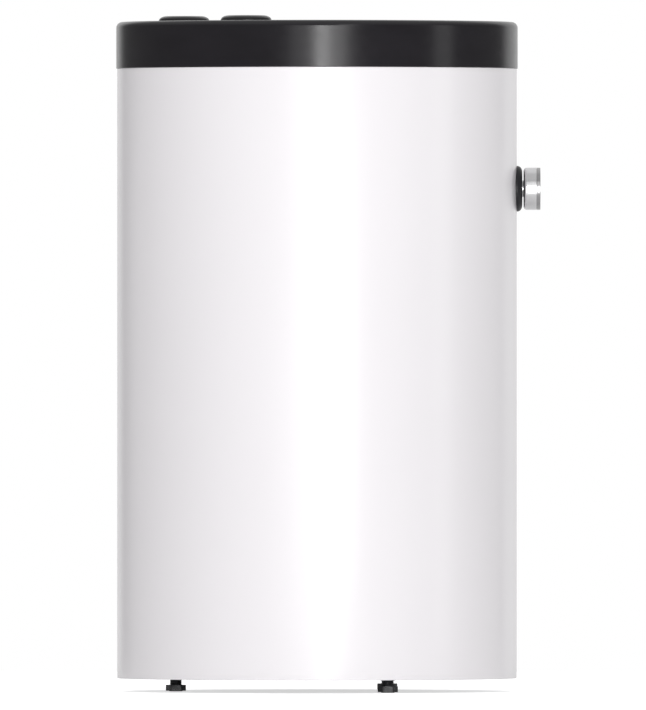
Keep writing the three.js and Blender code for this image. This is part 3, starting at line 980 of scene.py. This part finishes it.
def pointer():
    rear, front = along("thermometer_pointer")
    blade = rear + 0.8 * MM
    hub_front = front - 0.1 * MM
    half = [(-8, 0.9), (-7.2, 1.45), (-3, 1.2), (3, 0.95), (14, 0.6), (21.6, 0.22), (22, 0)]
    outline = [(x, -y) for x, y in half] + [(x, y) for x, y in reversed(half[:-1])]
    place = dial_place() @ Matrix.Rotation(-TURN / 4, 4, "Z")
    points = []
    for z, shrink in ((rear, 1.0), (rear + 0.55 * MM, 1.0), (blade, 0.72)):
        points += [place @ Vector((x * MM, y * shrink * MM, z)) for x, y in outline]
    count = len(outline)
    sides = [
        (level + i, level + (i + 1) % count, level + count + (i + 1) % count, level + count + i)
        for level in (0, count)
        for i in range(count)
    ]
    ends = [tuple(reversed(range(count))), tuple(range(2 * count, 3 * count))]
    flat = mesh_object("blade", points, sides + ends)
    hub = revolve("hub", rounded([
        (0, rear),
        (3 * MM, rear, 0.15),
        (3 * MM, hub_front, 0.7),
        (0, hub_front),
    ]), dial_place(), 64)
    piece(join("pointer", flat, hub), "thermometer_pointer")


# ---------------- foam, flange and pipe connections

TANK_RADIUS = half_width("inner_tank")
DOME_RISE = 70 * MM
NECK_RADIUS = 62 * MM
FOAM_GAP = 1.5 * MM


def tank_base():
    return BOX["inner_tank"][0].z + DOME_RISE


def tank_crown():
    """The height at which the tank's wall turns into its upper dome, which ends round the neck."""
    neck = NECK_RADIUS / TANK_RADIUS
    return BOX["inner_tank"][1].z - DOME_RISE * math.sqrt(1 - neck ** 2)


def crusty(r, z, angle):
    """Foam that has risen a little unevenly, never past its mould."""
    if z < BOX["foam_insulation"][1].z - NEAR:
        return r, z
    at = Vector((r * math.cos(angle), r * math.sin(angle), 0))
    swell = noise.fractal(at * 38, 1.0, 2.0, 4)
    return r, z - 1.1 * MM * (1 + max(-1, min(1, swell)))


def foam():
    low, high, radius = sized("foam_insulation")
    neck = NECK_RADIUS + 1.1 * MM
    cavity = (TANK_RADIUS + FOAM_GAP, DOME_RISE + FOAM_GAP)
    neck_angle = math.degrees(math.acos(neck / cavity[0]))
    upper = arc((0, tank_crown()), cavity, neck_angle, 0, 16)
    lower = arc((0, tank_base()), cavity, 0, -36, 6)
    top = stations(neck + 2 * MM, radius - 3 * MM, 7 * MM)
    outline = [(lower[-1][0], low.z), (radius, low.z), (radius, high.z - 2 * MM)]
    outline += [(r, high.z) for r in reversed(top)] + [(neck, high.z - 2 * MM)]
    outline += upper + lower[:-1]
    body = revolve("foam", outline, TANK, 192, crusty)
    holes = [
        drill(18.4 * MM, tank_crown(), high.z + MM, upright(f"{pipe}_spigot"), 1 * MM)
        for pipe in PIPES
    ]
    tunnel = drill(18.2 * MM, *SIDE_CUTS["foam"], dial_place())
    piece(cut(body, *holes, tunnel), "foam_insulation")


BOLT_HOLE = 4.3 * MM


def flange():
    low, high, radius = sized("flange_neck")
    bore = 56 * MM
    under = high.z - 7.5 * MM
    outline = rounded([
        (bore, low.z, 0.5),
        (NECK_RADIUS, low.z, 0.5),
        (NECK_RADIUS, under, 1.5),
        (radius, under, 0.6),
        (radius, high.z, 0.8),
        (bore, high.z, 0.8),
    ])
    neck = revolve("neck", outline, TANK, 144)
    holes = [drill(BOLT_HOLE, under - MM, high.z, place, 0.3 * MM, 32) for place in BOLT_PLACES]
    piece(cut(neck, *holes), "flange_neck")

    low, high, radius = sized("flange_gasket")
    bore = 57 * MM
    seal = ring(bore, radius, low.z, high.z, (0.6, 0.9, 0.9, 0.6))
    piece(revolve("gasket", seal, TANK, 144), "flange_gasket")

    low, high, radius = sized("flange_plate")
    sunk = high.z - 0.6 * MM
    disc = rounded([
        (0, low.z),
        (radius, low.z, 0.8),
        (radius, high.z, 1.4),
        (0.62 * radius, high.z),
        (0.6 * radius, sunk),
        (0, sunk),
    ])
    plate = revolve("plate", disc, TANK, 144)
    holes = [drill(BOLT_HOLE, low.z - MM, high.z, place, 0.4 * MM, 32) for place in BOLT_PLACES]
    holes.append(drill(12.3 * MM, low.z - MM, high.z, TANK, 0.5 * MM))
    holes.append(drill(7.35 * MM, low.z - MM, high.z, upright("sensor_pocket"), 0.3 * MM))
    piece(cut(plate, *holes), "flange_plate")


BOLT_CORNER = 7.5 * MM
BOLT_SHANK = 4 * MM


def flange_bolt(n):
    node = f"flange_bolt_{n}"
    low, high = BOX[node]
    head = high.z - 5.3 * MM
    outline = [(0, low.z), (BOLT_SHANK - 0.7 * MM, low.z)]
    outline += [(BOLT_SHANK, z) for z in stations(low.z + 0.7 * MM, head - 0.8 * MM, 0.2 * MM)]
    outline += [(BOLT_SHANK, head), (BOLT_CORNER, head)]
    outline += [(BOLT_CORNER, z) for z in stations(head, high.z, 0.25 * MM)[1:]]
    sunk = high.z - 0.3 * MM
    outline += [(0.82 * BOLT_CORNER, high.z), (0.4 * BOLT_CORNER, sunk), (0, sunk)]
    shape = chained(
        hexagonal(BOLT_CORNER, head, high.z, (False, True)),
        thread(BOLT_SHANK, 0.5 * MM, 1.25 * MM, low.z, head - 3 * MM),
    )
    turned(node, outline, 48, shape)


def anode_plug():
    low, high = BOX["anode_plug"]
    corner = 18 * MM
    shank = 12 * MM
    head = BOX["flange_plate"][1].z + GAP
    outline = [(0, low.z), (shank - MM, low.z)]
    outline += [(shank, z) for z in stations(low.z + MM, head - 0.5 * MM, 0.25 * MM)]
    outline += [(shank, head), (corner, head)]
    outline += [(corner, z) for z in stations(head, high.z, 0.4 * MM)[1:]]
    sunk = high.z - 0.6 * MM
    outline += [(0.8 * corner, high.z), (0.45 * corner, sunk), (0, sunk)]
    shape = chained(
        hexagonal(corner, head, high.z),
        thread(shank, 0.8 * MM, 1.8 * MM, low.z, head),
    )
    turned("anode_plug", outline, 72, shape)


def anode_rod():
    low, high, radius = sized("anode_rod")
    core = 5 * MM
    cast_top = high.z - 12 * MM
    outline = [(0, low.z)] + arc((0, low.z + 5 * MM), (radius, 5 * MM), -80, 0, 6)
    outline += [(radius, z) for z in stations(low.z + 10 * MM, cast_top, 10 * MM)]
    outline += rounded([(radius, cast_top), (radius, high.z - 8 * MM, 2), (core, high.z - 6 * MM)])[1:]
    outline += [(core, high.z), (0, high.z)]

    def pitted(r, z, angle):
        if r < 0.9 * radius:
            return r, z
        at = Vector((math.cos(angle), math.sin(angle), z * 30))
        return r - 0.35 * MM * (1 + noise.noise(at * 2)), z
    turned("anode_rod", outline, 64, pitted)


def sensor_pocket():
    low, high = BOX["sensor_pocket"]
    tube = 7 * MM
    bore = 5.5 * MM
    collar = BOX["flange_plate"][1].z + GAP
    outline = [(0, low.z)] + arc((0, low.z + tube), (tube, tube), -80, 0, 8)
    outline += rounded([
        (tube, low.z + tube),
        (tube, collar, 0.2),
        (tube + 3 * MM, collar, 0.5),
        (tube + 3 * MM, high.z, 0.8),
        (bore, high.z, 0.5),
        (bore, low.z + tube),
    ])[1:]
    outline += [(bore * 0.7, low.z + 3 * MM), (0, low.z + 2 * MM)]
    turned("sensor_pocket", outline, 72)


PIPE_PITCH = 2.309 * MM


def spigot(pipe):
    node = f"{pipe}_spigot"
    low, high, radius = sized(node)
    bore = 13.4 * MM
    threaded = high.z - 34 * MM
    tip = high.z - 1.4 * MM
    outline = [(bore, low.z), (radius, low.z), (radius, threaded - 4 * MM)]
    outline += [(radius, z) for z in stations(threaded, tip, PIPE_PITCH / 8)]
    outline += rounded([
        (radius, tip),
        (radius - 1.2 * MM, high.z, 0.3),
        (bore + 0.4 * MM, high.z, 0.2),
        (bore, high.z - 0.8 * MM),
    ])[1:]
    shape = thread(radius, 1.2 * MM, PIPE_PITCH, threaded - MM, high.z)
    turned(node, outline, 72, shape)


# ---------------- inside the tank

def inner_tank():
    low = BOX["inner_tank"][0]
    wall = 2.5 * MM
    base = tank_base()
    crown = tank_crown()
    neck = NECK_RADIUS + 0.7 * MM
    inner = TANK_RADIUS - wall
    neck_angle = math.degrees(math.acos(neck / inner))
    outer_angle = math.degrees(math.acos(neck / TANK_RADIUS))
    outline = [(0, low.z)] + arc((0, base), (TANK_RADIUS, DOME_RISE), -88, 0, 20)
    outline += [(TANK_RADIUS, z) for z in stations(base, crown, 20 * MM)[1:]]
    outline += arc((0, crown), (TANK_RADIUS, DOME_RISE), 0, outer_angle, 16)[1:]
    outline += arc((0, crown), (inner, DOME_RISE - wall), neck_angle, 0, 16)
    outline += arc((0, base), (inner, DOME_RISE - wall), 0, -88, 20) + [(0, low.z + wall)]

    def welded(r, z, angle):
        seam = min(abs(z - base), abs(z - crown))
        sunk = 0.5 * MM * math.exp(-((seam / (3 * MM)) ** 2))
        return (r - sunk if r > inner + wall / 2 else r), z
    shell = revolve("inner_tank", outline, TANK, 192, welded)
    above = 0.95
    holes = [drill(17.5 * MM, crown, above, upright(f"{pipe}_spigot")) for pipe in PIPES]
    holes.append(drill(14.5 * MM, *SIDE_CUTS["tank"], dial_place()))
    piece(cut(shell, *holes), "inner_tank")


def dip_tube():
    node = "cold_dip_tube"
    low, high, radius = sized(node)
    bore = radius - 2 * MM
    outline = ring(bore, radius, low.z, high.z, (0.4, 0.6, 0.6, 0.4))
    turned(node, outline, 72)


def support_ring():
    node = "support_ring"
    low, high, radius = sized(node)
    inner = 180 * MM
    plate = 4 * MM
    outline = rounded([
        (inner, low.z, 0.6),
        (radius, low.z, 0.6),
        (radius, low.z + plate, 0.6),
        (inner + plate, low.z + plate, 3),
        (inner + plate, high.z, 0.6),
        (inner, high.z, 0.6),
    ])
    ring = revolve(node, outline, TANK, 144)
    holes = [drill(FOOT_HOLE, 0, 60 * MM, place) for place in FOOT_PLACES]
    piece(cut(ring, *holes), node)


def bottom_insulation():
    node = "bottom_insulation"
    low, high, radius = sized(node)
    floor = stations(8 * MM, radius - 4 * MM, 10 * MM)
    outline = [(0, low.z)] + [(r, low.z) for r in floor]
    outline += rounded([
        (floor[-1], low.z), (radius, low.z, 3), (radius, high.z, 3), (floor[-1], high.z),
    ])[1:-1]
    outline += [(r, high.z) for r in reversed(floor)] + [(0, high.z)]

    def lumpy(r, z, angle):
        at = Vector((r * math.cos(angle), r * math.sin(angle), 0))
        dent = 0.5 * MM * (1 + noise.noise(at * 34))
        return r, z + (dent if z < middle(node).z else -dent)
    piece(revolve(node, outline, TANK, 96, lumpy), node)


def thermowell():
    rear, front = along("thermowell_boss")
    radius = half_width("thermowell_boss")
    bore = 8.5 * MM
    outline = ring(bore, radius, rear, front, (0.4, 0.8, 0.8, 0.5))
    piece(revolve("boss", outline, dial_place(), 72), "thermowell_boss")

    face = front + GAP
    rear, front = along("thermowell")
    tube = 8 * MM
    bore = 5.6 * MM
    hexed = 13 * MM
    outline = [(0, rear)] + arc((0, rear + tube), (tube, tube), -80, 0, 8)
    outline += [(tube, face), (hexed, face)]
    outline += [(hexed, z) for z in stations(face, front, 0.5 * MM)[1:]]
    outline += rounded([(0.8 * hexed, front), (bore, front, 0.4), (bore, rear + tube)])
    outline += [(bore * 0.7, rear + 3.2 * MM), (0, rear + 2.2 * MM)]
    shape = hexagonal(hexed, face, front, (False, True))
    piece(revolve("well", outline, dial_place(), 72, shape), "thermowell")

    rear, front = along("thermometer_stem")
    radius = half_width("thermometer_stem")
    bore = radius - 1.1 * MM
    outline = [(0, rear)] + arc((0, rear + radius), (radius, radius), -80, 0, 8)
    outline += rounded([
        (radius, rear + radius), (radius, front, 0.3), (bore, front, 0.2), (bore, rear + radius),
    ])[1:]
    outline += [(0.6 * bore, rear + 1.6 * MM), (0, rear + MM)]
    piece(revolve("stem", outline, dial_place(), 64), "thermometer_stem")

    rear, front = along("pointer_spindle")
    radius = half_width("pointer_spindle")
    outline = rounded([(0, rear), (radius, rear, 0.3), (radius, front, 0.3), (0, front)])
    piece(revolve("spindle", outline, dial_place(), 40), "pointer_spindle")


for build in (
    jacket, lid, lid_insulation, base_pan, rosette, case, bezel, lens, dial, pointer, foam, flange,
    anode_plug, anode_rod, sensor_pocket, inner_tank, dip_tube, support_ring, bottom_insulation, thermowell,
):
    build()
for number in CAPS:
    cap(number)
for number in FEET:
    foot_screw(number)
    foot_pad(number)
    foot_bush(number)
for number in BOLTS:
    flange_bolt(number)
for name in PIPES:
    spigot(name)
for name, node in frame["nodes"].items():
    if not node.hide_render:
        dress(node, SLOT_OF[name])


# ---------------- camera

CAMERA_DISTANCE = 42.0
CAMERA_ASIDE = 9.0 * MM    # how far the camera stands from the tank's axis, towards +X
VIEW_HEIGHT = 1.0611    # what the camera sees from top to bottom at the tank
VIEW_MIDDLE = 0.5025

lens_data = bpy.data.cameras.new("camera")
lens_data.lens = lens_data.sensor_width * CAMERA_DISTANCE / VIEW_HEIGHT
lens_data.clip_end = 200
camera = add_object("camera", lens_data)
camera.location = (TANK_X + CAMERA_ASIDE, -CAMERA_DISTANCE, VIEW_MIDDLE)
camera.rotation_euler = (TURN / 4, 0, 0)
bpy.context.scene.camera = camera


# ---------------- floor and light

FLOOR_RADIUS = 2.6
FLOOR_THICKNESS = 20 * MM
FLOOR_TONE = (0.86, 0.86, 0.86)
FLOOR_GLOW = 0.6


def studio_floor():
    """A pale floor that looks near white, and lights the tank as a plain diffuse one."""
    finish = Finish("studio_floor", FLOOR_TONE, 0.9)
    finish.shader.inputs["Emission Color"].default_value = (1, 1, 1, 1)
    finish.shader.inputs["Emission Strength"].default_value = FLOOR_GLOW
    finish.rough(finish.noise(3, 3), 0.85, 0.95)
    dim = finish.node("ShaderNodeBsdfDiffuse")
    dim.inputs["Color"].default_value = (*FLOOR_TONE, 1)
    seen = finish.node("ShaderNodeLightPath").outputs["Is Camera Ray"]
    finish.swap(seen, dim.outputs[0], finish.shader.outputs[0])
    outline = [(0, -FLOOR_THICKNESS), (FLOOR_RADIUS, -FLOOR_THICKNESS), (FLOOR_RADIUS, 0), (0, 0)]
    floor = revolve("studio_floor", outline, Matrix.Identity(4), 128)
    floor.data.materials.append(finish.material)


def panel(name, azimuth, distance, size, power, aim, mirrored=True, lit=True):
    """A level soft box that faces the tank at the height aim.

    Azimuth 0 is on the camera's side and grows towards +X, in degrees. size is its width and height.
    mirrored says whether glossy surfaces reflect it, and lit whether it lights matt ones.
    """
    light = bpy.data.lights.new(name, "AREA")
    light.shape = "RECTANGLE"
    light.size, light.size_y = size
    light.energy = power
    lamp = add_object(name, light)
    turn = math.radians(azimuth)
    back = Vector((math.sin(turn), -math.cos(turn), 0))
    lamp.location = Vector((TANK_X, 0, aim)) + back * distance
    lamp.rotation_euler = back.to_track_quat("Z", "Y").to_euler()
    lamp.visible_camera = False
    lamp.visible_glossy = mirrored
    lamp.visible_diffuse = lit


panel("key", 2.6, 5.0, (0.55, 2.8), 34, 0.3)
panel("key_fade", 9, 5.1, (1.2, 2.8), 20, 0.3)
panel("key_wide", 2, 5.2, (3.2, 3.4), 28, 0.5)
panel("front_fill", 0, 4.2, (4.0, 0.6), 88, 0.34, mirrored=False)
panel("back_left", -125, 4.0, (1.5, 0.9), 33, 0.5, mirrored=False)
panel("back_right", 125, 4.0, (1.5, 0.9), 33, 0.5, mirrored=False)
panel("case_low", 15.6, 1.3, (0.2, 0.7), 0.5, 0.5, lit=False)
panel("case_high", 15.6, 1.3, (0.2, 0.65), 0.48, 1.4, lit=False)
panel("side_strip", 75, 4.0, (0.9, 2.6), 6, 0.9)


AMBIENT = 0.22    # even light on matt surfaces only
BACKDROP_LEFT = (-38, -18)    # degrees from straight behind over which the bright backdrop sets in
BACKDROP_RIGHT = (36, 50)    # and over which it fades out again
OVERHEAD = (0.15, 0.9, 0.2, 0.75)    # between these two heights of a direction, the glow goes from and to
UNDERFOOT = (-0.25, -0.05)    # between these two, the floor's glow fades to nothing


def studio_world():
    """A white backdrop for the camera, and light that is brightest behind the tank and overhead."""
    world = bpy.data.worlds.new("studio")
    bpy.context.scene.world = world
    world.use_nodes = True
    nodes, links = world.node_tree.nodes, world.node_tree.links
    nodes.clear()

    def math_node(operation, first, second=None):
        made = nodes.new("ShaderNodeMath")
        made.operation = operation
        for socket, value in zip(made.inputs, (first, second)):
            if isinstance(value, (int, float)):
                socket.default_value = value
            elif value is not None:
                links.new(value, socket)
        return made.outputs[0]

    def smooth_step(value, low, high, start, end):
        made = nodes.new("ShaderNodeMapRange")
        made.interpolation_type = "SMOOTHSTEP"
        spans = {"From Min": low, "From Max": high, "To Min": start, "To Max": end}
        for socket, number in spans.items():
            made.inputs[socket].default_value = number
        links.new(value, made.inputs["Value"])
        return made.outputs["Result"]

    direction = nodes.new("ShaderNodeTexCoord").outputs["Generated"]
    split = nodes.new("ShaderNodeSeparateXYZ")
    links.new(direction, split.inputs[0])
    x, y, z = split.outputs
    turn = math_node("ARCTAN2", x, y)
    left = smooth_step(turn, *map(math.radians, BACKDROP_LEFT), 0, 1)
    right = smooth_step(turn, *map(math.radians, BACKDROP_RIGHT), 1, 0)
    behind = math_node("MULTIPLY", left, right)
    overhead = smooth_step(z, *OVERHEAD)
    underfoot = smooth_step(z, *UNDERFOOT, FLOOR_GLOW, 0)
    glow = math_node("MAXIMUM", math_node("MAXIMUM", overhead, underfoot), behind)
    path = nodes.new("ShaderNodeLightPath")
    soft = math_node("MULTIPLY", path.outputs["Is Diffuse Ray"], AMBIENT)
    glow = math_node("ADD", glow, soft)
    backdrop = nodes.new("ShaderNodeBackground")
    backdrop.inputs["Color"].default_value = (1, 1, 1, 1)
    light = nodes.new("ShaderNodeBackground")
    links.new(glow, light.inputs["Strength"])
    mix = nodes.new("ShaderNodeMixShader")
    links.new(path.outputs["Is Camera Ray"], mix.inputs[0])
    links.new(light.outputs[0], mix.inputs[1])
    links.new(backdrop.outputs[0], mix.inputs[2])
    links.new(mix.outputs[0], nodes.new("ShaderNodeOutputWorld").inputs["Surface"])


studio_floor()
studio_world()
bpy.context.scene.view_settings.view_transform = "Standard"
